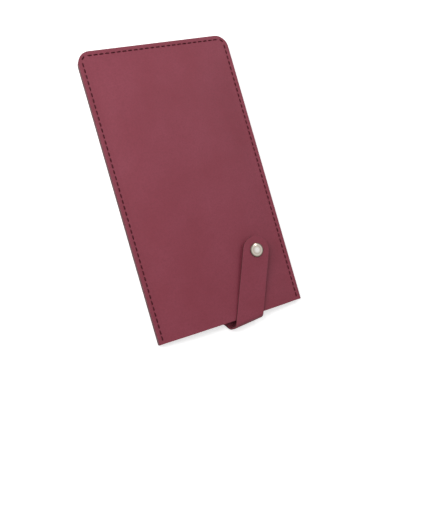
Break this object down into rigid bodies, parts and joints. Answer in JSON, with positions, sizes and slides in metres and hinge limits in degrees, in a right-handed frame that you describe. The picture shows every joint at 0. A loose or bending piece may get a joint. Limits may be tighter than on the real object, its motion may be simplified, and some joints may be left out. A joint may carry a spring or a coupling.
{
  "type": "knife blade guard",
  "caption": "Flat leather guard for a rectangular cleaver blade, sewn on three sides, with a strap round the mouth that snaps shut.",
  "frame": {"origin": "centre of the back panel's outer face, the face that it lies on", "axes": "+X towards the spine side, +Y from the mouth to the closed tip end, +Z out of the front panel"},
  "size_m": [0.112, 0.2088, 0.0127],
  "materials": {
    "panel_leather": "satin, fine grain",
    "welt_leather": "matt cut edge",
    "thread": "waxed thread",
    "snap_metal": "bright nickel"
  },
  "bodies": {
    "pouch": {"front_panel": "panel_leather", "back_panel": "panel_leather", "edge_welt": "welt_leather", "tip_welt": "welt_leather", "spine_welt": "welt_leather", "needle_thread": "thread", "bobbin_thread": "thread", "snap_stud": "snap_metal", "stud_post": "snap_metal"},
    "bend": {"strap_bend": "panel_leather"},
    "flap": {"strap_flap": "panel_leather", "snap_cap": "snap_metal", "snap_cap_post": "snap_metal", "snap_socket": "snap_metal", "snap_spring": "snap_metal"}
  },
  "joints": [
    {"name": "strap_root_fold", "type": "hinge", "parent": "pouch", "child": "bend", "pos_m": [0.011, -0.10509, 0.00095], "axis": [0.9962, 0.0872, 0], "range_deg": [0, 90]},
    {"name": "strap_flap_fold", "type": "hinge", "parent": "bend", "child": "flap", "pos_m": [0.011, -0.10515, 0.00794], "axis": [0.9962, 0.0872, 0], "range_deg": [0, 85.5]}
  ],
  "couplings": [
    {"joint": "strap_flap_fold", "follows": "strap_root_fold", "ratio": 0.95}
  ]
}
